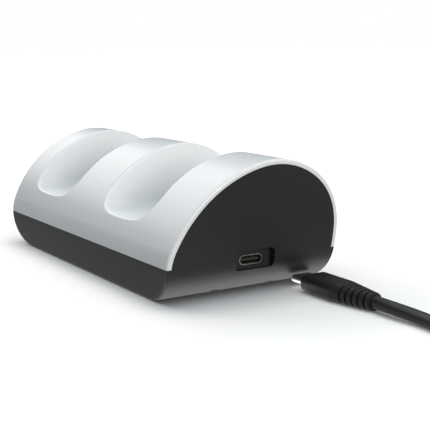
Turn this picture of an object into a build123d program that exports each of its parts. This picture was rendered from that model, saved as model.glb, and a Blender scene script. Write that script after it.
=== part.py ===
"""Charging dock for two game controllers, with its charging cable.

Millimetres, Z up from the table. X runs along the dock, with the power port
at its +X end, and the long front slope faces -Y.
"""
from build123d import *
from math import cos, pi, radians, sin, sqrt, tan
import os

os.makedirs("parts", exist_ok=True)

# Arched section across the dock
HALF_DEPTH = 33.0  # middle to the widest line of the front and of the back
CREST_Z = 44.5  # top of the arch
CREST_Y = 5.8  # the top lies a little behind the middle
CREST_R = 29.24  # radius over the top
SLOPE_R = 44.1  # radius of the long front slope
FRONT_R = 16.0  # radius of the shoulder at the front
FRONT_Z = 11.7  # height of the widest line at the front
BACK_JOIN = 50.0  # degrees above level where the top radius meets the back radius
FRONT_TUCK = 1.5  # the underside starts this far inside the widest line
BACK_TUCK = 2.8
LIFT = 0.7  # underside above the table

# Ends
END_X = 61.6  # half length at the underside, before its corners are rounded
END_LEAN = 6.05  # degrees that the ends lean out
END_ROUND = 13.0  # upward curve of the underside at the ends
EDGE_ROUND = 0.8  # outer edges

# Shell and base
SPLIT_Z = 12.7  # joint between the white shell and the black base
SHELL_WALL = 1.65
BASE_WALL = 2.6
END_WALL = 2.2  # end walls and floor of the base
SHELL_GAP = 0.1  # between the shell and the parts of the base inside it
LIP_H = 1.5  # rim of the base that centres the shell

# Cradles for the controllers: upright walls down to a level floor
CRADLE_HALF = 16.8  # half width
CRADLE_PITCH = 58.5
CRADLE_SHIFT = -4.2  # the pair stands off the middle, away from the port
CRADLE_RISE = 11.5  # floor above the widest line of the front
CRADLE_TIP = 2.5  # front end inside the widest line of the front
CRADLE_STOP = 5.0  # back end inside the widest line of the back
CRADLE_NOSE = 9.0  # length of a rounded end
CRADLE_ROUND = 2.5  # between walls and floor
RIM_ROUND = 0.9

# Power port
PORT_Z = 11.7
PORT_W = 8.94  # outside of the socket's metal shell
PORT_H = 3.26
PORT_WALL = 0.3
PORT_LONG = 7.35
PORT_GAP = 0.15
POCKET_W = 15.0
POCKET_LOW = 8.9
POCKET_HIGH = 15.5
POCKET_R = 1.5
POCKET_DEEP = 2.6
POCKET_WALL = 2.2
PORT_BACK = 0.2  # the socket's mouth lies this far behind the pocket's floor
TONGUE_W = 6.7
TONGUE_T = 0.7
TONGUE_BASE = 1.95  # moulded block at the back of the socket
TONGUE_BACK = 0.8  # the tongue ends this far inside the mouth

# Screws, bosses and feet
BOSS_EDGE = 13.0  # screw line to the widest line of the section
BOSS_END = 15.6  # screw line to the end
BOSS_R = 3.0
POST_R = 4.0
POST_TOP = 6.0
SHELL_SCREW_R = 1.25
SHELL_SCREW_LONG = 12.0
SHELL_HEAD_R = 2.5
SHELL_HEAD_H = 2.0
HEAD_SINK = 0.8  # the heads lie this far inside the underside
SMALL_SCREW_R = 1.0
SMALL_SCREW_LONG = 6.0
SMALL_HEAD_R = 1.9
SMALL_HEAD_H = 1.3
SCREW_HOLE_GAP = 0.1
HEAD_GAP = 0.25
THREAD_GAP = 0.02
FOOT_R = 5.0
FOOT_H = 1.5
FOOT_EDGE = 10.0  # foot to the widest line of the section
FOOT_END = 25.6  # foot to the end
FOOT_GAP = 0.1

# Main board
BOARD_T = 1.6
BOARD_LONG = 31.0
BOARD_W = 30.0
BOARD_FRONT = 1.0  # clear of the wall behind the port
BOARD_R = 1.0
BOARD_HOLE = 4.0  # screws from the edges of the board
BOARD_POST_R = 2.8
CHIP = 6.0
CHIP_H = 0.9
COIL_SIDE = 7.0
COIL_H = 3.0

# Charging contacts, one set in each cradle
INSERT_LONG = 14.0
INSERT_W = 8.0
INSERT_SINK = 0.2  # top of the insert below the cradle's floor
INSERT_H = 4.9
INSERT_GAP = 0.15
INSERT_R = 1.2
FLANGE_LONG = 16.0
FLANGE_W = 12.0
FLANGE_LOW = 1.4  # flange above the contact board
FLANGE_T = 1.2
CONTACT_BOARD_LONG = 29.0
CONTACT_BOARD_W = 12.0
CONTACT_BOARD_T = 1.2
CONTACT_BOSS = 11.5  # screws from the middle of the cradle
CONTACT_BOSS_R = 2.4
CONTACT_SCREW_LONG = 5.0
CONTACT_HOLE = 4.0  # depth of their holes
PIN_PITCH = 5.0
PIN_R = 0.9
PIN_OUT = 1.4  # pin above the insert
PIN_SKIRT_R = 1.2
PIN_SKIRT_H = 1.25
PIN_TRAVEL = 1.0
PIN_GAP = 0.05
PIN_DOME = 0.6
BARREL_WALL = 0.35
BARREL_FLOOR = 0.4
BARREL_LIP = 0.5
BARREL_FIT = 0.02
SPRING_R = 1.05
SPRING_WIRE = 0.3

# Leads inside the dock
SOCKET_LONG = 5.0
SOCKET_W = 4.0
SOCKET_H = 3.0
SOCKET_SIDE = 6.5  # socket of a contact board from its middle
LEAD_R = 0.8
LEAD_BEND = 1.5
LEAD_OUT = 3.5  # straight run out of a socket
LEAD_LOW = 2.0  # lead below a contact board

# Plug and cable, which lie on the table
PLUG_AT = (66.0, 21.1)
PLUG_TURN = -1.3  # degrees from the dock's length
PLUG_W = 11.4
PLUG_H = 5.6
PLUG_LONG = 15.2
PLUG_CORNER = 2.4
PLUG_EDGE = 0.8
TIP_W = 8.25
TIP_H = 2.4
TIP_LONG = 6.65
TIP_WALL = 0.3
RELIEF_R = 2.9  # end of the tapered strain relief
RELIEF_LONG = 15.4
RIB_STEP = 2.4
RIB_COUNT = 5
RIB_DEEP = 0.7  # slots between the ribs
RIB_SLOT = 0.8
CABLE_R = 2.1
CABLE_START = 10.5  # straight run behind the strain relief
COIL_AT = (147.2, 42.0)
COIL_TURN_R = 29.6  # outer turn of the coil, at the cable's middle
COIL_ROWS = 4
COIL_STEP = 4.4
COIL_LAYERS = 2
COIL_ENTRY = -87.0  # degrees round the coil
COIL_EXIT = 104.0
TIE_T = 0.6
TIE_W = 8.0
TIE_GAP = 0.3
FAR_W = 15.0
FAR_H = 8.0
FAR_LONG = 18.0
FAR_EDGE = 1.5
FAR_SHELL_W = 12.0
FAR_SHELL_H = 4.5
FAR_SHELL_LONG = 12.0
FAR_SHELL_WALL = 0.3
FAR_INSERT_H = 1.9

FAR = 200.0  # longer than the dock, for cuts that pass right through


# Centres of the section's tangent arcs, as (y, z)
front_c = Vector(FRONT_R - HALF_DEPTH, FRONT_Z)
crest_c = Vector(CREST_Y, CREST_Z - CREST_R)
link = crest_c - front_c
link_dir = link.normalized()
front_leg = SLOPE_R - FRONT_R
crest_leg = SLOPE_R - CREST_R
foot_of = (front_leg**2 - crest_leg**2 + link.length**2) / (2 * link.length)
drop = sqrt(front_leg**2 - foot_of**2)
slope_c = front_c + link_dir * foot_of + Vector(link_dir.Y, -link_dir.X) * drop
front_join = (front_c - slope_c).normalized()
slope_join = (crest_c - slope_c).normalized()
back_join = Vector(cos(radians(BACK_JOIN)), sin(radians(BACK_JOIN)))
BACK_R = (HALF_DEPTH - CREST_Y - CREST_R * back_join.X) / (1 - back_join.X)
back_c = crest_c + back_join * (CREST_R - BACK_R)
BACK_Z = back_c.Y


def tuck_radius(height, tuck):
    """Radius of an arc that leaves the vertical by tuck over height."""
    return (height**2 + tuck**2) / (2 * tuck)


def section_prism(inset):
    """The arched section, moved in by inset and drawn out along X."""
    half = HALF_DEPTH - inset
    front_foot = tuck_radius(FRONT_Z - LIFT, FRONT_TUCK) - inset
    back_foot = tuck_radius(BACK_Z - LIFT, BACK_TUCK) - inset
    front_low = front_foot - half - sqrt(front_foot**2 - FRONT_Z**2)
    back_low = half - back_foot + sqrt(back_foot**2 - BACK_Z**2)
    with BuildPart() as prism:
        with BuildSketch(Plane.YZ.offset(-FAR)):
            with BuildLine():
                TangentArc((-half, FRONT_Z), (front_low, 0), tangent=(0, -1))
                shoulder = TangentArc(
                    (-half, FRONT_Z),
                    front_c + front_join * (FRONT_R - inset),
                    tangent=(0, 1),
                )
                slope = TangentArc(
                    shoulder @ 1,
                    crest_c + slope_join * (CREST_R - inset),
                    tangent=shoulder % 1,
                )
                top = TangentArc(
                    slope @ 1,
                    crest_c + back_join * (CREST_R - inset),
                    tangent=slope % 1,
                )
                TangentArc(top @ 1, (half, BACK_Z), tangent=top % 1)
                TangentArc((half, BACK_Z), (back_low, 0), tangent=(0, -1))
                Line((back_low, 0), (front_low, 0))
            make_face()
        extrude(amount=2 * FAR)
    return prism.part


def end_at(z):
    """X of the leaning end face at height z."""
    return END_X + (z - LIFT) * tan(radians(END_LEAN))


def end_prism(inset):
    """The outline of the ends, moved in by inset and drawn out along Y."""
    high = 2 * CREST_Z
    with BuildPart() as prism:
        with BuildSketch(Plane.XZ.offset(-FAR)) as outline:
            with BuildLine():
                Polyline(
                    (-END_X, LIFT),
                    (END_X, LIFT),
                    (end_at(high), high),
                    (-end_at(high), high),
                    close=True,
                )
            make_face()
            fillet(outline.vertices().group_by(Axis.Y)[0], END_ROUND)
            if inset > 0:
                offset(amount=-inset, kind=Kind.INTERSECTION)
        extrude(amount=2 * FAR)
    return prism.part


cradle_xs = (CRADLE_SHIFT + CRADLE_PITCH / 2, CRADLE_SHIFT - CRADLE_PITCH / 2)
cradle_floor = FRONT_Z + CRADLE_RISE
cradle_front = CRADLE_TIP + CRADLE_NOSE - HALF_DEPTH  # where the rounded front end starts
cradle_back = HALF_DEPTH - CRADLE_STOP - CRADLE_NOSE


def cradle_solid(x, grow):
    """Solid that fills one cradle, grown by grow on all sides."""
    half = CRADLE_HALF + grow
    nose = CRADLE_NOSE + grow
    with BuildPart() as solid:
        with BuildSketch(Plane.XY.offset(cradle_floor - grow)):
            with BuildLine():
                front = EllipticalCenterArc((x, cradle_front), half, nose, 180, arc_size=180)
                back = EllipticalCenterArc((x, cradle_back), half, nose, 0, arc_size=180)
                Line(front @ 1, back @ 0)
                Line(back @ 1, front @ 0)
            make_face()
        extrude(amount=CREST_Z)
        fillet(solid.faces().sort_by(Axis.Z)[0].edges(), CRADLE_ROUND + grow)
    return solid.part


# Places that several pieces share
boss_x = END_X - BOSS_END
boss_y = HALF_DEPTH - BOSS_EDGE
boss_spots = [(sx * boss_x, sy * boss_y) for sx in (1, -1) for sy in (1, -1)]
foot_x = END_X - FOOT_END
foot_y = HALF_DEPTH - FOOT_EDGE
foot_spots = [(sx * foot_x, sy * foot_y) for sx in (1, -1) for sy in (1, -1)]
floor_z = LIFT + END_WALL
insert_top = cradle_floor - INSERT_SINK
contact_top = insert_top - INSERT_H  # upper face of a contact board
contact_low = contact_top - CONTACT_BOARD_T
contact_y = (cradle_front + cradle_back) / 2
contact_spots = [(x + s * CONTACT_BOSS, contact_y) for x in cradle_xs for s in (1, -1)]
pin_spots = [(x + s * PIN_PITCH / 2, contact_y) for x in cradle_xs for s in (1, -1)]
pocket_x = end_at(PORT_Z) - POCKET_DEEP
pocket_mid = (POCKET_LOW + POCKET_HIGH) / 2
pocket_h = POCKET_HIGH - POCKET_LOW
port_x = pocket_x - PORT_BACK
board_top = PORT_Z - PORT_H / 2
board_x = pocket_x - POCKET_WALL - BOARD_FRONT - BOARD_LONG / 2
board_holes = [
    (board_x + sx * (BOARD_LONG / 2 - BOARD_HOLE), sy * (BOARD_W / 2 - BOARD_HOLE))
    for sx in (1, -1)
    for sy in (1, -1)
]
head_z = LIFT + HEAD_SINK + SHELL_HEAD_H  # under the base's screw seat
RISE = (Align.CENTER, Align.CENTER, Align.MIN)
HANG = (Align.CENTER, Align.CENTER, Align.MAX)

# Outer form of shell and base together
with BuildPart() as body:
    add(section_prism(0))
    add(end_prism(0), mode=Mode.INTERSECT)
    rim = body.edges().filter_by(lambda e: e.geom_type != GeomType.LINE)
    underside = body.edges().filter_by(Axis.X).group_by(Axis.Z)[0]
    fillet(rim + underside, EDGE_ROUND)

# Hollow of the shell, left out where the cradles and the bosses come down
with BuildPart() as shell_hollow:
    add(section_prism(SHELL_WALL))
    split(bisect_by=Plane.XY.offset(SPLIT_Z - SHELL_WALL), keep=Keep.TOP)
    for x in cradle_xs:
        add(cradle_solid(x, SHELL_WALL), mode=Mode.SUBTRACT)
    with Locations(*[(x, y, POST_TOP) for x, y in boss_spots]):
        Cylinder(BOSS_R, CREST_Z, align=RISE, mode=Mode.SUBTRACT)
    with Locations(*[(x, y, contact_top) for x, y in contact_spots]):
        Cylinder(CONTACT_BOSS_R, CREST_Z, align=RISE, mode=Mode.SUBTRACT)

cradles = [cradle_solid(x, 0) for x in cradle_xs]


def on_skin(solids, spot):
    """True where a point lies on the skin of one of the solids."""
    return min(f.distance_to(spot) for solid in solids for f in solid.faces()) < 0.001


# White arched shell with its two cradles, whose rims are rounded
with BuildPart() as top_shell:
    add(body.part)
    split(bisect_by=Plane.XY.offset(SPLIT_Z), keep=Keep.TOP)
    for cradle in cradles:
        add(cradle, mode=Mode.SUBTRACT)
    rims = [
        e
        for e in top_shell.edges()
        if on_skin(cradles, e @ 0.5) and on_skin([body.part], e @ 0.5)
    ]
    fillet(rims, RIM_ROUND)
    add(shell_hollow.part, mode=Mode.SUBTRACT)
    with Locations(*[(x, y, POST_TOP) for x, y in boss_spots]):
        Cylinder(BOSS_R, SPLIT_Z - POST_TOP + SHELL_WALL, align=RISE)
    with Locations(*[(x, y, POST_TOP) for x, y in boss_spots]):
        Cylinder(SHELL_SCREW_R + THREAD_GAP, SHELL_SCREW_LONG, align=RISE, mode=Mode.SUBTRACT)
    with BuildSketch(Plane.XY.offset(contact_top)):
        with Locations(*[(x, contact_y) for x in cradle_xs]):
            RectangleRounded(INSERT_LONG + 2 * INSERT_GAP, INSERT_W + 2 * INSERT_GAP, INSERT_R)
    extrude(amount=CREST_Z, mode=Mode.SUBTRACT)
    with Locations(*[(x, y, contact_top) for x, y in contact_spots]):
        Cylinder(SMALL_SCREW_R + THREAD_GAP, CONTACT_HOLE, align=RISE, mode=Mode.SUBTRACT)
top_shell.part.label = "top_shell"
export_step(top_shell.part, "parts/top_shell.step")

# Upper parts of the base: both end walls and the rim that centres the shell
with BuildPart() as base_arch:
    add(section_prism(SHELL_WALL + SHELL_GAP))
    add(end_prism(0), mode=Mode.INTERSECT)
    split(bisect_by=Plane.XY.offset(SPLIT_Z - END_WALL), keep=Keep.TOP)

with BuildPart() as base_hollow:
    add(section_prism(BASE_WALL))
    add(end_prism(END_WALL), mode=Mode.INTERSECT)

with BuildPart() as base_open:
    add(end_prism(END_WALL))
    split(bisect_by=Plane.XY.offset(SPLIT_Z + LIP_H), keep=Keep.TOP)

# Black base with its end walls, the port's pocket, posts and foot seats
with BuildPart() as base_housing:
    add(body.part)
    split(bisect_by=Plane.XY.offset(SPLIT_Z), keep=Keep.BOTTOM)
    add(base_arch.part)
    add(base_hollow.part, mode=Mode.SUBTRACT)
    add(base_open.part, mode=Mode.SUBTRACT)
    with BuildSketch(Plane.YZ.offset(pocket_x - POCKET_WALL)):
        with Locations((0, pocket_mid)):
            RectangleRounded(POCKET_W + 2 * POCKET_WALL, pocket_h + 2 * POCKET_WALL, POCKET_R)
    extrude(amount=POCKET_WALL + PORT_WALL)
    with BuildSketch(Plane.YZ.offset(pocket_x)):
        with Locations((0, pocket_mid)):
            RectangleRounded(POCKET_W, pocket_h, POCKET_R)
    extrude(amount=FAR, mode=Mode.SUBTRACT)
    with BuildSketch(Plane.YZ.offset(pocket_x - 2 * POCKET_WALL)):
        with Locations((0, PORT_Z)):
            SlotOverall(PORT_W + 2 * PORT_GAP, PORT_H + 2 * PORT_GAP)
    extrude(amount=FAR, mode=Mode.SUBTRACT)
    with Locations(*[(x, y, LIFT + END_WALL / 2) for x, y in boss_spots]):
        Cylinder(POST_R, POST_TOP - LIFT - END_WALL / 2, align=RISE)
    with Locations(*[(x, y, LIFT) for x, y in boss_spots]):
        Cylinder(SHELL_SCREW_R + SCREW_HOLE_GAP, POST_TOP, align=RISE, mode=Mode.SUBTRACT)
        Cylinder(SHELL_HEAD_R + HEAD_GAP, head_z - LIFT, align=RISE, mode=Mode.SUBTRACT)
    with Locations(*[(x, y, LIFT + END_WALL / 2) for x, y in board_holes]):
        Cylinder(BOARD_POST_R, board_top - BOARD_T - LIFT - END_WALL / 2, align=RISE)
    with Locations(*[(x, y, board_top - BOARD_T) for x, y in board_holes]):
        Cylinder(SMALL_SCREW_R + THREAD_GAP, SMALL_SCREW_LONG - BOARD_T, align=HANG, mode=Mode.SUBTRACT)
    with Locations(*[(x, y, 0) for x, y in foot_spots]):
        Cylinder(FOOT_R + FOOT_GAP, FOOT_H, align=RISE, mode=Mode.SUBTRACT)
base_housing.part.label = "base_housing"
export_step(base_housing.part, "parts/base_housing.step")

# Rubber feet
for number, (x, y) in enumerate(foot_spots, 1):
    with BuildPart() as foot:
        with Locations((x, y, 0)):
            Cylinder(FOOT_R, FOOT_H, align=RISE)
        chamfer(foot.edges().group_by(Axis.Z)[0], LIFT / 3)
    foot.part.label = f"foot_{number}"
    export_step(foot.part, f"parts/foot_{number}.step")

# Screws that hold the shell from below
with BuildPart() as shell_screws:
    with Locations(*[(x, y, head_z) for x, y in boss_spots]):
        Cylinder(SHELL_HEAD_R, SHELL_HEAD_H, align=HANG)
        Cylinder(SHELL_SCREW_R, SHELL_SCREW_LONG, align=RISE)
shell_screws.part.label = "shell_screws"
export_step(shell_screws.part, "parts/shell_screws.step")

# Power socket: a drawn metal shell round a moulded tongue
with BuildPart() as usb_receptacle_shell:
    with BuildSketch(Plane.YZ.offset(port_x)):
        with Locations((0, PORT_Z)):
            SlotOverall(PORT_W, PORT_H)
            SlotOverall(PORT_W - 2 * PORT_WALL, PORT_H - 2 * PORT_WALL, mode=Mode.SUBTRACT)
    extrude(amount=-PORT_LONG)
usb_receptacle_shell.part.label = "usb_receptacle_shell"
export_step(usb_receptacle_shell.part, "parts/usb_receptacle_shell.step")

with BuildPart() as usb_receptacle_tongue:
    with BuildSketch(Plane.YZ.offset(port_x - PORT_LONG)):
        with Locations((0, PORT_Z)):
            SlotOverall(
                PORT_W - 2 * PORT_WALL - 2 * THREAD_GAP,
                PORT_H - 2 * PORT_WALL - 2 * THREAD_GAP,
            )
    extrude(amount=TONGUE_BASE)
    with BuildSketch(Plane.YZ.offset(port_x - PORT_LONG)):
        with Locations((0, PORT_Z)):
            Rectangle(TONGUE_W, TONGUE_T)
    extrude(amount=PORT_LONG - TONGUE_BACK)
usb_receptacle_tongue.part.label = "usb_receptacle_tongue"
export_step(usb_receptacle_tongue.part, "parts/usb_receptacle_tongue.step")

# Main board, which carries the socket
with BuildPart() as main_board:
    with BuildSketch(Plane.XY.offset(board_top - BOARD_T)):
        with Locations((board_x, 0)):
            RectangleRounded(BOARD_LONG, BOARD_W, BOARD_R)
        with Locations(*board_holes):
            Circle(SMALL_SCREW_R + SCREW_HOLE_GAP, mode=Mode.SUBTRACT)
    extrude(amount=BOARD_T)
main_board.part.label = "main_board"
export_step(main_board.part, "parts/main_board.step")

with BuildPart() as main_board_screws:
    with Locations(*[(x, y, board_top) for x, y in board_holes]):
        Cylinder(SMALL_HEAD_R, SMALL_HEAD_H, align=RISE)
        Cylinder(SMALL_SCREW_R, SMALL_SCREW_LONG, align=HANG)
main_board_screws.part.label = "main_board_screws"
export_step(main_board_screws.part, "parts/main_board_screws.step")

with BuildPart() as board_chip:
    with Locations((board_x, -BOARD_W / 4, board_top)):
        Box(CHIP, CHIP, CHIP_H, align=RISE)
board_chip.part.label = "board_chip"
export_step(board_chip.part, "parts/board_chip.step")

with BuildPart() as board_inductor:
    with Locations((board_x, BOARD_W / 4, board_top)):
        Box(COIL_SIDE, COIL_SIDE, COIL_H, align=RISE)
    fillet(board_inductor.edges().filter_by(Axis.Z), BOARD_R)
board_inductor.part.label = "board_inductor"
export_step(board_inductor.part, "parts/board_inductor.step")

# Contact set of each cradle: insert, board, lead and their sockets
socket_x = board_x - BOARD_LONG / 2 + SOCKET_LONG
socket_ys = (SOCKET_W, -SOCKET_W)
for number, (x, socket_y) in enumerate(zip(cradle_xs, socket_ys), 1):
    with BuildPart() as contact_insert:
        with BuildSketch(Plane.XY.offset(contact_top)):
            with Locations((x, contact_y)):
                RectangleRounded(INSERT_LONG, INSERT_W, INSERT_R)
        extrude(amount=INSERT_H)
        with BuildSketch(Plane.XY.offset(contact_top + FLANGE_LOW)):
            with Locations((x, contact_y)):
                RectangleRounded(FLANGE_LONG, FLANGE_W, INSERT_R)
        extrude(amount=FLANGE_T)
        with Locations(*[(x + s * PIN_PITCH / 2, contact_y, contact_top) for s in (1, -1)]):
            Cylinder(
                PIN_SKIRT_R + PIN_GAP + BARREL_WALL + BARREL_FIT,
                INSERT_H,
                align=RISE,
                mode=Mode.SUBTRACT,
            )
    contact_insert.part.label = f"contact_insert_{number}"
    export_step(contact_insert.part, f"parts/contact_insert_{number}.step")

    with BuildPart() as contact_board:
        with BuildSketch(Plane.XY.offset(contact_low)):
            with Locations((x, contact_y)):
                RectangleRounded(CONTACT_BOARD_LONG, CONTACT_BOARD_W, BOARD_R)
            with Locations(*[(x + s * CONTACT_BOSS, contact_y) for s in (1, -1)]):
                Circle(SMALL_SCREW_R + SCREW_HOLE_GAP, mode=Mode.SUBTRACT)
        extrude(amount=CONTACT_BOARD_T)
    contact_board.part.label = f"contact_board_{number}"
    export_step(contact_board.part, f"parts/contact_board_{number}.step")

    with BuildPart() as lead_socket:
        with Locations((socket_x, socket_y, board_top)):
            Box(SOCKET_LONG, SOCKET_W, SOCKET_H, align=RISE)
        with Locations((x - SOCKET_SIDE, contact_y, contact_low)):
            Box(SOCKET_LONG, SOCKET_W, SOCKET_H, align=HANG)
    lead_socket.part.label = f"lead_sockets_{number}"
    export_step(lead_socket.part, f"parts/lead_sockets_{number}.step")

    lead_from = socket_x - SOCKET_LONG / 2
    lead_to = x - SOCKET_SIDE + SOCKET_LONG / 2
    with BuildPart() as lead:
        with BuildLine():
            run = FilletPolyline(
                (lead_from, socket_y, board_top + SOCKET_H / 2),
                (lead_from - LEAD_OUT, socket_y, board_top + SOCKET_H / 2),
                (lead_to + LEAD_OUT, contact_y, contact_low - LEAD_LOW),
                (lead_to, contact_y, contact_low - LEAD_LOW),
                radius=LEAD_BEND,
            )
        with BuildSketch(Plane(run @ 0, z_dir=run % 0)):
            Circle(LEAD_R)
        sweep()
    lead.part.label = f"lead_{number}"
    export_step(lead.part, f"parts/lead_{number}.step")

with BuildPart() as contact_board_screws:
    with Locations(*[(x, y, contact_low) for x, y in contact_spots]):
        Cylinder(SMALL_HEAD_R, SMALL_HEAD_H, align=HANG)
        Cylinder(SMALL_SCREW_R, CONTACT_SCREW_LONG, align=RISE)
contact_board_screws.part.label = "contact_board_screws"
export_step(contact_board_screws.part, "parts/contact_board_screws.step")

# Sprung charging pins, each with its barrel and spring
barrel_r = PIN_SKIRT_R + PIN_GAP + BARREL_WALL
spring_low = contact_top + BARREL_FLOOR
lip_low = insert_top - BARREL_LIP
skirt_top = lip_low - PIN_GAP
skirt_low = skirt_top - PIN_SKIRT_H
for number, (x, y) in enumerate(pin_spots, 1):
    with BuildPart() as pin_barrel:
        with Locations((x, y, contact_top)):
            Cylinder(barrel_r, INSERT_H, align=RISE)
        with Locations((x, y, spring_low)):
            Cylinder(PIN_SKIRT_R + PIN_GAP, lip_low - spring_low, align=RISE, mode=Mode.SUBTRACT)
        with Locations((x, y, lip_low)):
            Cylinder(PIN_R + PIN_GAP, BARREL_LIP, align=RISE, mode=Mode.SUBTRACT)
    pin_barrel.part.label = f"pin_barrel_{number}"
    export_step(pin_barrel.part, f"parts/pin_barrel_{number}.step")

    with BuildPart() as contact_pin:
        with Locations((x, y, skirt_low)):
            Cylinder(PIN_SKIRT_R, PIN_SKIRT_H, align=RISE)
        with Locations((x, y, skirt_top)):
            Cylinder(PIN_R, insert_top + PIN_OUT - skirt_top, align=RISE)
        fillet(contact_pin.edges().group_by(Axis.Z)[-1], PIN_DOME)
    contact_pin.part.label = f"contact_pin_{number}"
    export_step(contact_pin.part, f"parts/contact_pin_{number}.step")

    with BuildPart() as pin_spring:
        with Locations((x, y, spring_low)):
            Cylinder(SPRING_R, skirt_low - spring_low, align=RISE)
            Cylinder(SPRING_R - SPRING_WIRE, skirt_low - spring_low, align=RISE, mode=Mode.SUBTRACT)
    pin_spring.part.label = f"pin_spring_{number}"
    export_step(pin_spring.part, f"parts/pin_spring_{number}.step")

# Plug, lying on the table in front of the port
plug_dir = Vector(cos(radians(PLUG_TURN)), sin(radians(PLUG_TURN)), 0)
plug_side = Vector(-plug_dir.Y, plug_dir.X, 0)
plug_front = Vector(*PLUG_AT, max(PLUG_H / 2, RELIEF_R))
plug_plane = Plane(plug_front, x_dir=plug_side, z_dir=plug_dir)


def relief(inset):
    """Strain relief that tapers from the grip to the cable, made smaller by inset."""
    end = 2 * (RELIEF_R - inset)
    with BuildPart() as taper:
        with BuildSketch(plug_plane.offset(PLUG_LONG)):
            RectangleRounded(PLUG_W - 2 * inset, PLUG_H - 2 * inset, PLUG_CORNER - inset)
        with BuildSketch(plug_plane.offset(PLUG_LONG + RELIEF_LONG)):
            RectangleRounded(end, end, 0.48 * end)
        loft(ruled=True)
    return taper.part


# Slots between the ribs of the strain relief
with BuildPart() as rib_slots:
    for number in range(RIB_COUNT):
        with BuildSketch(plug_plane.offset(PLUG_LONG + RELIEF_LONG - RIB_SLOT - (number + 0.5) * RIB_STEP)):
            Circle(PLUG_W)
        extrude(amount=RIB_SLOT)
    add(relief(RIB_DEEP), mode=Mode.SUBTRACT)

with BuildPart() as plug_overmould:
    with BuildSketch(plug_plane):
        RectangleRounded(PLUG_W, PLUG_H, PLUG_CORNER)
    extrude(amount=PLUG_LONG)
    fillet(plug_overmould.faces().sort_by(Axis(plug_front, plug_dir))[0].edges(), PLUG_EDGE)
    add(relief(0))
    add(rib_slots.part, mode=Mode.SUBTRACT)
plug_overmould.part.label = "plug_overmould"
export_step(plug_overmould.part, "parts/plug_overmould.step")

with BuildPart() as plug_shell:
    with BuildSketch(plug_plane):
        SlotOverall(TIP_W, TIP_H)
    extrude(amount=-TIP_LONG)
    with BuildSketch(plug_plane.offset(-TIP_LONG)):
        SlotOverall(TIP_W - 2 * TIP_WALL, TIP_H - 2 * TIP_WALL)
    extrude(amount=TIP_LONG - TIP_H, mode=Mode.SUBTRACT)
plug_shell.part.label = "plug_shell"
export_step(plug_shell.part, "parts/plug_shell.step")

# Coil of the rest of the cable, tied, and the cable to and from it
coil_low = TIE_T
coil_out = COIL_TURN_R + CABLE_R
coil_in = COIL_TURN_R - (COIL_ROWS - 1) * COIL_STEP - CABLE_R
coil_high = coil_low + COIL_LAYERS * 2 * CABLE_R
relief_end = plug_front + plug_dir * (PLUG_LONG + RELIEF_LONG)


def on_coil(angle, z):
    """Point on the outer turn of the coil."""
    return Vector(
        COIL_AT[0] + COIL_TURN_R * cos(radians(angle)),
        COIL_AT[1] + COIL_TURN_R * sin(radians(angle)),
        z,
    )


cable_route = [
    relief_end,
    relief_end + plug_dir * CABLE_START,
    Vector(116.5, 21.0, 2.4),
    Vector(127.5, 19.8, CABLE_R),
    Vector(138.0, 15.2, 2.3),
    on_coil(COIL_ENTRY, coil_low + CABLE_R),
]
tail_route = [
    on_coil(COIL_EXIT, coil_high - CABLE_R),
    Vector(133.1, 68.9, 5.5),
    Vector(126.0, 66.4, FAR_H / 2),
    Vector(118.9, 65.7, FAR_H / 2),
]


def bend_radii(route):
    """The largest even bend that the runs on both sides of each corner allow."""
    radii = []
    for a, b, c in zip(route, route[1:], route[2:]):
        turn = (b - a).get_angle(c - b)
        shorter = min((b - a).length, (c - b).length)
        radii.append(0.45 * shorter / tan(radians(turn / 2)))
    return radii


cable_radii = bend_radii(cable_route)
tail_radii = bend_radii(tail_route)
print("cable bends", [round(r, 1) for r in cable_radii])
print("tail bends", [round(r, 1) for r in tail_radii])

with BuildPart() as cable:
    with BuildLine():
        cable_path = FilletPolyline(*cable_route, radius=cable_radii)
    with BuildSketch(Plane(cable_path @ 0, z_dir=cable_path % 0)):
        Circle(CABLE_R)
    sweep()
cable.part.label = "cable"
export_step(cable.part, "parts/cable.step")
print("cable", cable.part.volume, pi * CABLE_R**2 * cable_path.length)

with BuildPart() as cable_coil:
    with BuildSketch(Plane.XZ):
        with Locations(((coil_in + coil_out) / 2, (coil_low + coil_high) / 2)):
            Rectangle(coil_out - coil_in, coil_high - coil_low)
    revolve(axis=Axis.Z)
cable_coil.part.position = (*COIL_AT, 0)
cable_coil.part.label = "cable_coil"
export_step(cable_coil.part, "parts/cable_coil.step")

tie_plane = Plane((*COIL_AT, 0), x_dir=(-1, 0, 0), z_dir=(0, 1, 0)).offset(-TIE_W / 2)
tie_in = sqrt(coil_in**2 - (TIE_W / 2) ** 2) - TIE_GAP
tie_mid = (tie_in + coil_out + TIE_GAP) / 2
tie_long = coil_out + TIE_GAP - tie_in
with BuildPart() as cable_tie:
    with BuildSketch(tie_plane):
        with Locations((tie_mid, coil_high / 2 + TIE_T / 2)):
            RectangleRounded(tie_long + 2 * TIE_T, coil_high + TIE_T, 2 * TIE_T)
        with Locations((tie_mid, (coil_low + coil_high) / 2)):
            Rectangle(tie_long, coil_high - coil_low, mode=Mode.SUBTRACT)
    extrude(amount=TIE_W)
cable_tie.part.label = "cable_tie"
export_step(cable_tie.part, "parts/cable_tie.step")

with BuildPart() as cable_tail:
    with BuildLine():
        tail_path = FilletPolyline(*tail_route, radius=tail_radii)
    with BuildSketch(Plane(tail_path @ 0, z_dir=tail_path % 0)):
        Circle(CABLE_R)
    sweep()
cable_tail.part.label = "cable_tail"
export_step(cable_tail.part, "parts/cable_tail.step")
print("tail", cable_tail.part.volume, pi * CABLE_R**2 * tail_path.length)

# Plug at the far end of the cable
far_dir = (tail_route[-1] - tail_route[-2]).normalized()
far_plane = Plane(tail_route[-1], x_dir=(-far_dir.Y, far_dir.X, 0), z_dir=far_dir)

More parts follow.
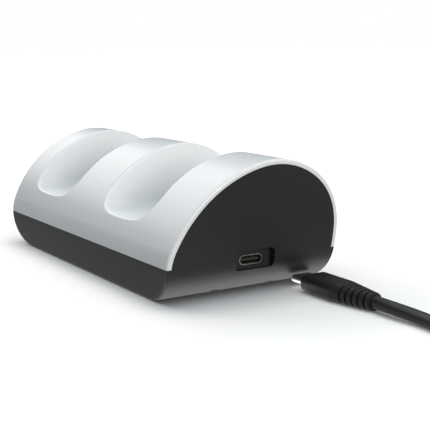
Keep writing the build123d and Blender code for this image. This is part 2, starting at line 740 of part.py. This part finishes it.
with BuildPart() as far_plug_overmould:
    with BuildSketch(far_plane):
        RectangleRounded(FAR_W, FAR_H, FAR_EDGE)
    extrude(amount=FAR_LONG)
    fillet(far_plug_overmould.faces().sort_by(Axis(tail_route[-1], far_dir))[0].edges(), PLUG_EDGE)
far_plug_overmould.part.label = "far_plug_overmould"
export_step(far_plug_overmould.part, "parts/far_plug_overmould.step")

with BuildPart() as far_plug_shell:
    with BuildSketch(far_plane.offset(FAR_LONG)):
        Rectangle(FAR_SHELL_W, FAR_SHELL_H)
        Rectangle(FAR_SHELL_W - 2 * FAR_SHELL_WALL, FAR_SHELL_H - 2 * FAR_SHELL_WALL, mode=Mode.SUBTRACT)
    extrude(amount=FAR_SHELL_LONG)
far_plug_shell.part.label = "far_plug_shell"
export_step(far_plug_shell.part, "parts/far_plug_shell.step")

with BuildPart() as far_plug_insert:
    with BuildSketch(far_plane.offset(FAR_LONG)):
        with Locations((0, -FAR_SHELL_H / 2 + FAR_SHELL_WALL + FAR_INSERT_H / 2)):
            Rectangle(FAR_SHELL_W - 2 * FAR_SHELL_WALL, FAR_INSERT_H)
    extrude(amount=FAR_SHELL_LONG - FAR_SHELL_WALL)
far_plug_insert.part.label = "far_plug_insert"
export_step(far_plug_insert.part, "parts/far_plug_insert.step")
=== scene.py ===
"""Finish of a charging dock for two game controllers.

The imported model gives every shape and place, in metres, Z up from the table.
This file lays the cable, winds the contact springs, adds the small contacts,
gives each piece its material and sets the camera, the table and the lamps.
"""
from math import cos, pi, radians, sin

import bmesh
import bpy
from bpy.props import FloatProperty, FloatVectorProperty, IntProperty, PointerProperty
from mathutils import Matrix, Vector


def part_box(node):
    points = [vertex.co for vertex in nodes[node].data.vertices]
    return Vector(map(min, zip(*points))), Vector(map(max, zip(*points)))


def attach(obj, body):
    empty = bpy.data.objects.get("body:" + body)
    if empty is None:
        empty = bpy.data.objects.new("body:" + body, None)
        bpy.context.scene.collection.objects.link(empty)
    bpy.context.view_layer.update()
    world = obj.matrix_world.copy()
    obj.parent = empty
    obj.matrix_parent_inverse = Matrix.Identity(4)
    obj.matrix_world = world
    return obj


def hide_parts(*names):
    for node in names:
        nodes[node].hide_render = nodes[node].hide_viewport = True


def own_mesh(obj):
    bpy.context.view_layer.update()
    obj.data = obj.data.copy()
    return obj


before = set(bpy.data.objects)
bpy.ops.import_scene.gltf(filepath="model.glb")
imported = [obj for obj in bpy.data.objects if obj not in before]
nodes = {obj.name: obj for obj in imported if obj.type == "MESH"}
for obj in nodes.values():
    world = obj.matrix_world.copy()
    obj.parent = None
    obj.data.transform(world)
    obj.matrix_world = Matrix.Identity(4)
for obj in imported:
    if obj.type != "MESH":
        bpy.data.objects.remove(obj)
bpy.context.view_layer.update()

bl_info = {
    "name": "Charging dock finish",
    "version": (1, 0, 0),
    "blender": (4, 5, 0),
    "location": "View3D > Sidebar > Dock",
    "description": "Lays the cable and gives a charging dock its materials and stage",
    "category": "Object",
}


def linear(hex_colour):
    """An sRGB hex colour as linear red, green, blue and alpha."""
    parts = [int(hex_colour[i:i + 2], 16) / 255 for i in (1, 3, 5)]
    return tuple(p / 12.92 if p <= 0.04045 else ((p + 0.055) / 1.055) ** 2.4 for p in parts) + (1.0,)


def per_mm(size):
    """Texture scale whose features are that many millimetres apart."""
    return 1000.0 / size


def add_node(tree, kind, values=None, links=None, **settings):
    """A node with its settings, its socket values and its incoming links."""
    node = tree.nodes.new(kind)
    for name, value in settings.items():
        setattr(node, name, value)
    for socket, value in (values or {}).items():
        node.inputs[socket].default_value = value
    for socket, source in (links or {}).items():
        tree.links.new(source, node.inputs[socket])
    return node


def start_material(name, **values):
    """An empty material with its surface shader and the piece's own coordinates."""
    material = bpy.data.materials.new(name)
    material.use_nodes = True
    tree = material.node_tree
    tree.nodes.clear()
    surface = add_node(tree, "ShaderNodeBsdfPrincipled", values={
        key.replace("_", " "): value for key, value in values.items()})
    add_node(tree, "ShaderNodeOutputMaterial", links={"Surface": surface.outputs["BSDF"]})
    place = add_node(tree, "ShaderNodeTexCoord").outputs["Object"]
    return material, tree, surface, place


def mottle(made, size, detail, tones=None, rough=None, bump=None, vector=None):
    """Vary a material's colour, roughness and relief by noise of a size in millimetres."""
    material, tree, surface, place = made
    noise = add_node(tree, "ShaderNodeTexNoise", values={"Scale": per_mm(size), "Detail": detail},
                     links={"Vector": vector or place})
    amount = noise.outputs["Fac"]
    if tones:
        tone = add_node(tree, "ShaderNodeMix", data_type="RGBA",
                        values={"A": tones[0], "B": tones[1]}, links={0: amount})
        tree.links.new(tone.outputs["Result"], surface.inputs["Base Color"])
    if rough:
        spread = add_node(tree, "ShaderNodeMapRange",
                          values={"To Min": rough[0], "To Max": rough[1]}, links={0: amount})
        tree.links.new(spread.outputs[0], surface.inputs["Roughness"])
    if bump:
        relief = add_node(tree, "ShaderNodeBump", values={"Strength": bump[0], "Distance": bump[1]},
                          links={"Height": amount})
        tree.links.new(relief.outputs[0], surface.inputs["Normal"])
    return material


def toned(colour, factor):
    """A colour made darker or lighter by a factor."""
    return tuple(Vector(colour) * factor)[:3] + (1.0,)


def dress(material, slot, *names):
    """Give CAD nodes one material in all their slots."""
    for name in names:
        piece = nodes[name]
        piece.data.materials.clear()
        piece.data.materials.append(material)


class DockColours(bpy.types.PropertyGroup):
    """Colours of the dock's mouldings, boards and cable."""

    shell: FloatVectorProperty(
        name="Shell", description="Colour of the arched cover", subtype="COLOR", size=4,
        min=0, max=1, default=linear("#ECEEEF"))
    base: FloatVectorProperty(
        name="Base", description="Colour of the base and its end walls", subtype="COLOR", size=4,
        min=0, max=1, default=linear("#141415"))
    cable: FloatVectorProperty(
        name="Cable", description="Colour of the cable and its grips", subtype="COLOR", size=4,
        min=0, max=1, default=linear("#19191A"))
    board: FloatVectorProperty(
        name="Boards", description="Colour of the circuit boards' coating", subtype="COLOR", size=4,
        min=0, max=1, default=linear("#1B5A35"))


class CableSizes(bpy.types.PropertyGroup):
    """Sizes of the cable and of the coil that it is wound into."""

    diameter: FloatProperty(
        name="Diameter", description="Outside of the cable", unit="LENGTH", default=0.0042)
    turn_radius: FloatProperty(
        name="Outer turn", description="Radius of the coil's outer turn", unit="LENGTH", default=0.0296)
    step: FloatProperty(
        name="Step", description="From one turn to the next", unit="LENGTH", default=0.0044)
    turns: IntProperty(
        name="Turns", description="Turns in each of the two layers", default=3)
    points: IntProperty(
        name="Points", description="Control points in one turn", default=20)


class StageSettings(bpy.types.PropertyGroup):
    """Camera and lamps."""

    lens: FloatProperty(
        name="Lens", description="Focal length in millimetres on a 36 mm frame", default=81.25)
    slope: FloatProperty(
        name="Slope lamp", description="Strength of the wide lamp at the far end",
        unit="POWER", default=14.0)
    side: FloatProperty(
        name="Side lamp", description="Strength of the low lamp at the port's end",
        unit="POWER", default=5.5)
    table: FloatProperty(
        name="Table lamp", description="Strength of the lamp above, for the table only",
        unit="POWER", default=4.6)
    sky: FloatProperty(
        name="Room", description="Strength of the light from the room's ceiling", default=0.95)


class SetStage(bpy.types.Operator):
    """Set the camera, the pale table, the lamps and the room's light"""

    bl_idname = "dock.set_stage"
    bl_label = "Set the stage"

    def execute(self, context):
        settings = context.scene.dock_stage
        scene = context.scene

        # The camera stands off the port's end, a little above the dock
        camera = bpy.data.objects.new("camera", bpy.data.cameras.new("camera"))
        scene.collection.objects.link(camera)
        camera.data.lens = settings.lens
        camera.data.sensor_width = 36
        camera.data.clip_start = 0.01
        camera.location = (0.31034, -0.17545, 0.08177)
        elevation, azimuth = 10.308, 57.143
        camera.rotation_euler = (radians(90 - elevation), 0, radians(azimuth))
        scene.camera = camera

        # Wide lamp at the far end that draws the bright slope, a low one at the port's end
        # that lights the cradles' walls, and one above for the table. All point at the dock
        target = Vector((0.0, 0.0, 0.02))
        for name, power, size, place in (
            ("slope_lamp", settings.slope, (2.2, 1.0), (-1.50, -0.40, 1.05)),
            ("side_lamp", settings.side, (0.5, 0.4), (0.91, 0.02, 0.30)),
            ("table_lamp", settings.table, (0.6, 0.6), (-0.05, 0.25, 1.20)),
        ):
            lamp = bpy.data.objects.new(name, bpy.data.lights.new(name, "AREA"))
            scene.collection.objects.link(lamp)
            lamp.data.shape = "RECTANGLE"
            lamp.data.size, lamp.data.size_y = size
            lamp.data.energy = power
            lamp.data.color = linear("#FFFBF8")[:3]
            lamp.location = place
            lamp.rotation_euler = (Vector(place) - target).to_track_quat("Z", "Y").to_euler()

        # The camera sees a white room, surfaces are lit by its cool pale ceiling above dim walls
        world = bpy.data.worlds.new("room")
        world.use_nodes = True
        tree = world.node_tree
        tree.nodes.clear()
        path = add_node(tree, "ShaderNodeLightPath")
        seen = add_node(tree, "ShaderNodeMath", operation="MAXIMUM", links={
            0: path.outputs["Is Camera Ray"], 1: path.outputs["Is Transmission Ray"]})
        place = add_node(tree, "ShaderNodeTexCoord").outputs["Generated"]
        height = add_node(tree, "ShaderNodeSeparateXYZ", links={0: place})
        level = add_node(tree, "ShaderNodeMapRange", interpolation_type="SMOOTHSTEP", values={
            "From Min": 0.25, "From Max": 0.8, "To Min": 0.02, "To Max": settings.sky},
            links={0: height.outputs["Z"]})
        light = add_node(tree, "ShaderNodeBackground", values={"Color": linear("#EEF7FB")},
                         links={"Strength": level.outputs[0]})
        white = add_node(tree, "ShaderNodeBackground", values={
            "Color": (1, 1, 1, 1), "Strength": 1.0})
        mixed = add_node(tree, "ShaderNodeMixShader", links={
            0: seen.outputs[0], 1: light.outputs[0], 2: white.outputs[0]})
        add_node(tree, "ShaderNodeOutputWorld", links={"Surface": mixed.outputs[0]})
        scene.world = world

        # Matt table, white to the camera and grey to the light that it throws back
        table = bmesh.new()
        bmesh.ops.create_grid(table, x_segments=1, y_segments=1, size=6)
        mesh = bpy.data.meshes.new("table")
        table.to_mesh(mesh)
        table.free()
        floor = bpy.data.objects.new("table", mesh)
        scene.collection.objects.link(floor)
        material = bpy.data.materials.new("table_matt_white")
        material.use_nodes = True
        tree = material.node_tree
        tree.nodes.clear()
        path = add_node(tree, "ShaderNodeLightPath")
        seen = path.outputs["Is Camera Ray"]
        colour = add_node(tree, "ShaderNodeMix", data_type="RGBA", values={
            "A": linear("#606264"), "B": linear("#FCFAF9")}, links={0: seen})
        shade = add_node(tree, "ShaderNodeBsdfDiffuse", links={"Color": colour.outputs["Result"]})
        # The glow grows with the distance from the dock's footprint: a painted shade round the dock's
        # foot, which keeps the lamps' shadow dark there
        half_footprint = (0.066, 0.033, 0)
        place = add_node(tree, "ShaderNodeTexCoord").outputs["Object"]
        outside = place
        for operation, value in (
            ("ABSOLUTE", None), ("SUBTRACT", half_footprint), ("MAXIMUM", (0, 0, 0)),
        ):
            outside = add_node(tree, "ShaderNodeVectorMath", operation=operation, links={0: outside},
                               values={1: value} if value else None).outputs["Vector"]
        away = add_node(tree, "ShaderNodeVectorMath", operation="LENGTH", links={0: outside})
        glow = add_node(tree, "ShaderNodeMapRange", interpolation_type="SMOOTHSTEP", values={
            "From Min": 0.0, "From Max": 0.3, "To Min": 0.02, "To Max": 1.0},
            links={0: away.outputs["Value"]})
        glow = add_node(tree, "ShaderNodeMath", operation="MULTIPLY", links={
            0: glow.outputs[0], 1: seen})
        # To glossy rays the table glows, weakly all over and strongly in a strip along the port's end:
        # a painted reflection that brightens the base's lower edge
        strip_at, strip_half = 0.060, 0.010
        along = add_node(tree, "ShaderNodeSeparateXYZ", links={0: place})
        strip = add_node(tree, "ShaderNodeMath", operation="SUBTRACT", values={1: strip_at},
                         links={0: along.outputs["X"]})
        strip = add_node(tree, "ShaderNodeMath", operation="ABSOLUTE", links={0: strip.outputs[0]})
        strip = add_node(tree, "ShaderNodeMapRange", values={
            "From Min": 0.0, "From Max": strip_half, "To Min": 2.2, "To Max": 0.45},
            links={0: strip.outputs[0]})
        painted_reflection = add_node(tree, "ShaderNodeMath", operation="MULTIPLY", links={
            0: path.outputs["Is Glossy Ray"], 1: strip.outputs[0]})
        glow = add_node(tree, "ShaderNodeMath", operation="ADD", links={
            0: glow.outputs[0], 1: painted_reflection.outputs[0]})
        lift = add_node(tree, "ShaderNodeEmission", values={"Color": (1, 1, 1, 1)},
                        links={"Strength": glow.outputs[0]})
        both = add_node(tree, "ShaderNodeAddShader", links={0: shade.outputs[0], 1: lift.outputs[0]})
        add_node(tree, "ShaderNodeOutputMaterial", links={"Surface": both.outputs[0]})
        mesh.materials.append(material)

        # The low lamp passes the table by and the lamp above lights only the table, so that
        # the dock's shade stays close round its foot
        for name, state in (("side_lamp", "EXCLUDE"), ("table_lamp", "INCLUDE")):
            group = bpy.data.collections.new(name + "_table")
            group.objects.link(floor)
            scene.objects[name].light_linking.receiver_collection = group
            group.collection_objects[0].light_linking.link_state = state

        scene.view_settings.view_transform = "Standard"
        return {"FINISHED"}


class LayCable(bpy.types.Operator):
    """Lay the cable from its plug to the tied coil and the far plug"""

    bl_idname = "dock.lay_cable"
    bl_label = "Lay the cable"

    def execute(self, context):
        sizes = context.scene.dock_cable
        centre = Vector((0.1472, 0.0420, 0))
        # Heights of the coil's two layers, and the angles where the cable enters and leaves it
        low, high = 0.0027, 0.0069
        enters, leaves = -87, 104

        # The route's corners on the table
        route = [
            (0.09659, 0.02041, 0.0029),
            (0.10709, 0.02017, 0.0029),
            (0.1165, 0.0210, 0.0024),
            (0.1275, 0.0198, 0.0021),
            (0.1380, 0.0152, 0.0023),
        ]

        # Coil: inwards on the table, up a layer on the inner turn, outwards again
        climb = (leaves - enters) / 360
        inner = sizes.turn_radius - sizes.turns * sizes.step
        total = 2 * sizes.turns + climb
        count = round(total * sizes.points)
        for i in range(count + 1):
            turn = total * i / count
            if turn <= sizes.turns:
                radius, z = sizes.turn_radius - sizes.step * turn, low
            elif turn <= sizes.turns + climb:
                rise = (turn - sizes.turns) / climb
                radius, z = inner, low + (high - low) * rise
            else:
                radius, z = inner + sizes.step * (turn - sizes.turns - climb), high
            angle = radians(enters) + 2 * pi * turn
            route.append(centre + Vector((radius * cos(angle), radius * sin(angle), z)))
        route += [
            (0.1331, 0.0689, 0.0055),
            (0.1260, 0.0664, 0.0040),
            (0.1189, 0.0657, 0.0040),
        ]

        line = bpy.data.curves.new("cable_line", "CURVE")
        line.dimensions = "3D"
        line.bevel_depth = 1
        line.bevel_resolution = 5
        line.resolution_u = 6
        line.use_fill_caps = True
        spline = line.splines.new("NURBS")
        spline.points.add(len(route) - 1)
        for point, place in zip(spline.points, route):
            point.co = (*place, 1)
            # The points carry the radius, so that the curve's box takes it in
            point.radius = sizes.diameter / 2
        spline.order_u = 3
        spline.use_endpoint_u = True
        spline.use_smooth = True
        cable = bpy.data.objects.new("cable_line", line)
        context.scene.collection.objects.link(cable)
        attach(cable, "dock")
        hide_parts("cable", "cable_coil", "cable_tail")
        line.materials.append(pvc_extruded(context.scene.dock_colours.cable))

        return {"FINISHED"}


def pvc_extruded(colour):
    """Soft PVC jacket, extruded: satin black with a faint grain from the die."""
    made = start_material("PVC_extruded_black", Base_Color=colour, IOR=1.54)
    return mottle(made, 0.5, 3.0, rough=(0.40, 0.52), bump=(0.08, 0.0001))


class FinishShell(bpy.types.Operator):
    """Give the arched cover its moulded white finish"""

    bl_idname = "dock.finish_shell"
    bl_label = "Finish the shell"

    def execute(self, context):
        colour = context.scene.dock_colours.shell
        # White ABS from a fine-polished mould: an even semi-gloss that draws the lamps softly
        made = start_material("ABS_moulded_semi_gloss_white", IOR=1.53)
        mottle(made, 22, 2.0, tones=(toned(colour, 0.975), toned(colour, 1)))
        # The mould's grain is about 0.1 mm, drawn at 0.6 mm so that it shows at all
        material = mottle(made, 0.6, 2.0, rough=(0.27, 0.35), bump=(0.03, 0.0001))
        dress(material, "white_shell", "top_shell")
        return {"FINISHED"}


class FinishBase(bpy.types.Operator):
    """Give the base, its feet and its screws their finishes"""

    bl_idname = "dock.finish_base"
    bl_label = "Finish the base"

    def execute(self, context):
        colour = context.scene.dock_colours.base
        # Black polypropylene from a spark-eroded mould: satin, with a fine even grain
        made = start_material("PP_spark_eroded_black", IOR=1.49)
        mottle(made, 18, 2.0, tones=(toned(colour, 0.85), toned(colour, 1)))
        # The grain is about 0.15 mm, drawn at 0.45 mm so that it shows close up
        material = mottle(made, 0.45, 3.0, rough=(0.42, 0.54), bump=(0.08, 0.0001))
        dress(material, "black_base", "base_housing")

        # Moulded rubber feet: dull, with a dusty grey bloom
        made = start_material("rubber_moulded_black", IOR=1.52)
        material = mottle(made, 2.5, 5.0, tones=(linear("#1B1B1B"), linear("#2E2D2C")),
                          rough=(0.75, 0.92))
        dress(material, "foot_rubber", "foot_1", "foot_2", "foot_3", "foot_4")

        # Zinc-plated steel screws: bright grey, a little cloudy
        made = start_material("steel_zinc_plated", Metallic=1.0)
        material = mottle(made, 1.2, 4.0, tones=(linear("#9FA3A6"), linear("#C4C6C6")),
                          rough=(0.28, 0.46))
        dress(material, "screw_steel", "shell_screws", "main_board_screws", "contact_board_screws")
        return {"FINISHED"}


def drawn_nickel():
    """Nickel-plated drawn steel: bright, with fine streaks along the draw."""
    made = start_material("steel_drawn_nickel_plated", Metallic=1.0)
    material, tree, surface, place = made
    along = add_node(tree, "ShaderNodeMapping", values={"Scale": (0.06, 1, 1)}, links={"Vector": place})
    # Draw lines are a few hundredths of a millimetre apart, drawn at 0.25 mm so that they show
    return mottle(made, 0.25, 3.0, tones=(linear("#B2B2B1"), linear("#D6D6D5")),
                  rough=(0.22, 0.38), vector=along.outputs[0])


def moulded_insulator():
    """Glass-filled polymer, moulded: matt black with pale flow streaks."""
    made = start_material("LCP_moulded_black", IOR=1.6)
    return mottle(made, 0.8, 4.0, tones=(linear("#121212"), linear("#1F1F20")), rough=(0.48, 0.64))


def gold_plate():
    """Hard gold over brass, turned: warm and bright, with fine rings from the tool."""
    material, tree, surface, place = start_material("brass_turned_gold_plated", Metallic=1.0)
    # Tool marks are about 0.05 mm apart, drawn at 0.2 mm so that they show
    rings = add_node(tree, "ShaderNodeTexWave", wave_type="BANDS", bands_direction="Z",
                     values={"Scale": per_mm(0.2) / 20, "Distortion": 0.6}, links={"Vector": place})
    tone = add_node(tree, "ShaderNodeMix", data_type="RGBA", values={
        "A": linear("#D9A94E"), "B": linear("#EAC372")}, links={0: rings.outputs["Fac"]})
    tree.links.new(tone.outputs["Result"], surface.inputs["Base Color"])
    rough = add_node(tree, "ShaderNodeMapRange", values={"To Min": 0.18, "To Max": 0.32},
                     links={0: rings.outputs["Fac"]})
    tree.links.new(rough.outputs[0], surface.inputs["Roughness"])
    return material


class FinishPort(bpy.types.Operator):
    """Finish the power socket and lay the contacts on its tongue"""

    bl_idname = "dock.finish_port"
    bl_label = "Finish the power port"

    def execute(self, context):
        dress(drawn_nickel(), "socket_metal", "usb_receptacle_shell")
        dress(moulded_insulator(), "black_insulator", "usb_receptacle_tongue")

        # Twelve contact strips on each side of the tongue, 0.5 mm apart
        low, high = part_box("usb_receptacle_tongue")
        middle = (low + high) / 2
        count, pitch = 12, 0.0005
        size = Vector((0.0040, 0.00026, 0.00006))
        # From the tongue's tip to a strip's middle, and from the tongue's middle to its faces
        back, half_thick = 0.0024, 0.00035
        strips = bmesh.new()
        for side in (1, -1):
            for i in range(count):
                y = middle.y + (i - (count - 1) / 2) * pitch
                place = Vector((high.x - back, y, middle.z + side * half_thick))
                made = bmesh.ops.create_cube(
                    strips, size=1, matrix=Matrix.LocRotScale(place, None, size))
                edges = list({e for v in made["verts"] for e in v.link_edges})
                bmesh.ops.bevel(strips, geom=edges, offset=0.00002, segments=1, affect="EDGES")
        mesh = bpy.data.meshes.new("socket_contacts")
        strips.to_mesh(mesh)
        strips.free()
        contacts = bpy.data.objects.new("socket_contacts", mesh)
        context.scene.collection.objects.link(contacts)
        mesh.materials.append(gold_plate())
        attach(contacts, "dock")
        return {"FINISHED"}


class MakeContacts(bpy.types.Operator):
    """Wind the contact springs and finish the sprung pins"""

    bl_idname = "dock.make_contacts"
    bl_label = "Make the contacts"

    def execute(self, context):
        gold = gold_plate()
        gold.name = "brass_turned_gold_plated_pins"
        numbers = (1, 2, 3, 4)
        dress(gold, "gold_contact", *[f"contact_pin_{n}" for n in numbers],
              *[f"pin_barrel_{n}" for n in numbers])
        insert = moulded_insulator()
        insert.name = "LCP_moulded_black_inserts"
        dress(insert, "black_insulator", "contact_insert_1", "contact_insert_2")

        # Drawn spring wire: dark bright steel
        made = start_material("steel_drawn_spring_wire", Metallic=1.0)
        wire = mottle(made, 0.3, 2.0, tones=(linear("#8A8B8D"), linear("#B4B5B6")),
                      rough=(0.25, 0.4))

        # Each spring is one round wire in closed end turns and open middle turns
        thick = 0.00015
        turns, steps, sides = 5, 120, 8
        for n in numbers:
            low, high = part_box(f"pin_spring_{n}")
            middle = (low + high) / 2
            radius = (high.x - low.x) / 2 - thick
            coil = bmesh.new()
            rings = []
            for i in range(steps + 1):
                t = i / steps
                angle = 2 * pi * turns * t
                lift = t * t * (3 - 2 * t)
                z = low.z + thick + (high.z - low.z - 2 * thick) * lift
                out = Vector((cos(angle), sin(angle), 0))
                centre = Vector((middle.x, middle.y, z)) + out * radius
                rings.append([
                    coil.verts.new(centre + thick * (out * cos(a) + Vector((0, 0, sin(a)))))
                    for a in (2 * pi * k / sides for k in range(sides))
                ])
            for a, b in zip(rings, rings[1:]):
                for k in range(sides):
                    after = (k + 1) % sides
                    coil.faces.new((a[k], b[k], b[after], a[after]))
            coil.faces.new(rings[0])
            coil.faces.new(list(reversed(rings[-1])))
            bmesh.ops.recalc_face_normals(coil, faces=coil.faces)
            mesh = bpy.data.meshes.new(f"wound_spring_{n}")
            coil.to_mesh(mesh)
            coil.free()
            mesh.shade_smooth()
            mesh.materials.append(wire)
            spring = bpy.data.objects.new(f"wound_spring_{n}", mesh)
            context.scene.collection.objects.link(spring)
            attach(spring, "dock")
            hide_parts(f"pin_spring_{n}")
            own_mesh(spring)
        return {"FINISHED"}


class FinishBoards(bpy.types.Operator):
    """Finish the circuit boards, what they carry and the leads between them"""

    bl_idname = "dock.finish_boards"
    bl_label = "Finish the boards"

    def execute(self, context):
        colour = context.scene.dock_colours.board
        # Glass laminate under green solder mask: glossy, the weave and the copper show through
        material, tree, surface, place = start_material(
            "glass_laminate_solder_mask", Roughness=0.3, IOR=1.55)
        weave = add_node(tree, "ShaderNodeTexChecker", values={
            "Scale": per_mm(0.5), "Color1": toned(colour, 1), "Color2": toned(colour, 0.93)},
            links={"Vector": place})
        tracks = add_node(tree, "ShaderNodeTexBrick", offset=0.37, squash=0.6, values={
            "Scale": per_mm(10) / 4, "Mortar Size": 0.012, "Mortar Smooth": 0.2},
            links={"Vector": place})
        tone = add_node(tree, "ShaderNodeMix", data_type="RGBA", values={"B": toned(colour, 1.6)},
                        links={0: tracks.outputs["Fac"], "A": weave.outputs["Color"]})
        tree.links.new(tone.outputs["Result"], surface.inputs["Base Color"])
        bump = add_node(tree, "ShaderNodeBump", values={"Strength": 0.2, "Distance": 0.00004},
                        links={"Height": tracks.outputs["Fac"]})
        tree.links.new(bump.outputs[0], surface.inputs["Normal"])
        dress(material, "circuit_board", "main_board", "contact_board_1", "contact_board_2")

        # Moulded epoxy chip and pressed ferrite choke: dull dark grey, the ferrite with pits
        for name, dark, pale, size, slot, piece in (
            ("epoxy_moulded_black", "#161617", "#222223", 0.4, "black_insulator", "board_chip"),
            ("ferrite_pressed_grey", "#2B2B2C", "#454547", 0.7, "ferrite", "board_inductor"),
        ):
            made = start_material(name, IOR=1.55)
            material = mottle(made, size, 4.0, tones=(linear(dark), linear(pale)),
                              rough=(0.5, 0.75), bump=(0.2, 0.00005))
            dress(material, slot, piece)

        # Unfilled nylon sockets: milky cream that lets a little light in
        made = start_material(
            "nylon_moulded_natural", IOR=1.53, Subsurface_Weight=0.2, Subsurface_Scale=0.001)
        material = mottle(made, 3, 2.0, tones=(linear("#DAD2BE"), linear("#E8E2D2")),
                          rough=(0.38, 0.5))
        dress(material, "pale_socket", "lead_sockets_1", "lead_sockets_2")

        # Silicone leads: soft black with a slight lint-like bloom
        made = start_material("silicone_extruded_black", IOR=1.41)
        material = mottle(made, 1.5, 4.0, tones=(linear("#202021"), linear("#2F2F30")),
                          rough=(0.5, 0.66))
        dress(material, "lead_jacket", "lead_1", "lead_2")
        return {"FINISHED"}


class FinishPlugs(bpy.types.Operator):
    """Finish both plugs of the cable and the strap round its coil"""

    bl_idname = "dock.finish_plugs"
    bl_label = "Finish the plugs"

    def execute(self, context):
        colour = context.scene.dock_colours.cable
        # Soft grip moulded over the plug: satin black with a fine eroded grain
        made = start_material("TPE_overmoulded_black", IOR=1.5)
        material = mottle(made, 0.4, 3.0, tones=(toned(colour, 0.9), toned(colour, 1.15)),
                          rough=(0.44, 0.58), bump=(0.1, 0.0001))
        dress(material, "black_cable", "plug_overmould", "far_plug_overmould")

        metal = drawn_nickel()
        metal.name = "steel_drawn_nickel_plated_plugs"
        dress(metal, "socket_metal", "plug_shell", "far_plug_shell")
        insulator = moulded_insulator()
        insulator.name = "LCP_moulded_black_far_plug"
        dress(insulator, "black_insulator", "far_plug_insert")

        # Woven nylon strap: a plain weave, threads 0.5 mm apart
        material, tree, surface, place = start_material("nylon_woven_strap", Roughness=0.8, IOR=1.53)
        across, along = (
            add_node(tree, "ShaderNodeTexWave", wave_type="BANDS", bands_direction=direction,
                     values={"Scale": per_mm(0.5) / 20, "Distortion": 0.4}, links={"Vector": place})
            for direction in ("X", "Y"))
        weave = add_node(tree, "ShaderNodeMath", operation="MULTIPLY", links={
            0: across.outputs["Fac"], 1: along.outputs["Fac"]})
        tone = add_node(tree, "ShaderNodeMix", data_type="RGBA", values={
            "A": linear("#101011"), "B": linear("#2C2C2E")}, links={0: weave.outputs[0]})
        tree.links.new(tone.outputs["Result"], surface.inputs["Base Color"])
        bump = add_node(tree, "ShaderNodeBump", values={"Strength": 0.4, "Distance": 0.0002},
                        links={"Height": weave.outputs[0]})
        tree.links.new(bump.outputs[0], surface.inputs["Normal"])
        dress(material, "strap", "cable_tie")
        return {"FINISHED"}


class DOCK_PT_panel(bpy.types.Panel):
    """The dock's pieces, in the order they are made"""

    bl_label = "Charging dock"
    bl_idname = "DOCK_PT_panel"
    bl_space_type = "VIEW_3D"
    bl_region_type = "UI"
    bl_category = "Dock"

    def draw(self, context):
        for name in ("dock_colours", "dock_cable", "dock_stage"):
            group = getattr(context.scene, name)
            for key in group.bl_rna.properties.keys():
                if key not in ("rna_type", "name"):
                    self.layout.prop(group, key)
        for operator in operators:
            self.layout.operator(operator.bl_idname)


settings = {"dock_colours": DockColours, "dock_cable": CableSizes, "dock_stage": StageSettings}
operators = (SetStage, LayCable, FinishShell, FinishBase, FinishPort, MakeContacts, FinishBoards,
             FinishPlugs)


def register():
    for group in settings.values():
        bpy.utils.register_class(group)
    for operator in operators:
        bpy.utils.register_class(operator)
    bpy.utils.register_class(DOCK_PT_panel)
    for name, group in settings.items():
        setattr(bpy.types.Scene, name, PointerProperty(type=group))


def unregister():
    for name in settings:
        delattr(bpy.types.Scene, name)
    bpy.utils.unregister_class(DOCK_PT_panel)
    for operator in reversed(operators):
        bpy.utils.unregister_class(operator)
    for group in reversed(list(settings.values())):
        bpy.utils.unregister_class(group)


def main():
    register()
    bpy.ops.dock.set_stage()
    bpy.ops.dock.lay_cable()
    bpy.ops.dock.finish_shell()
    bpy.ops.dock.finish_base()
    bpy.ops.dock.finish_port()
    bpy.ops.dock.make_contacts()
    bpy.ops.dock.finish_boards()
    bpy.ops.dock.finish_plugs()


if __name__ == "__main__":
    main()
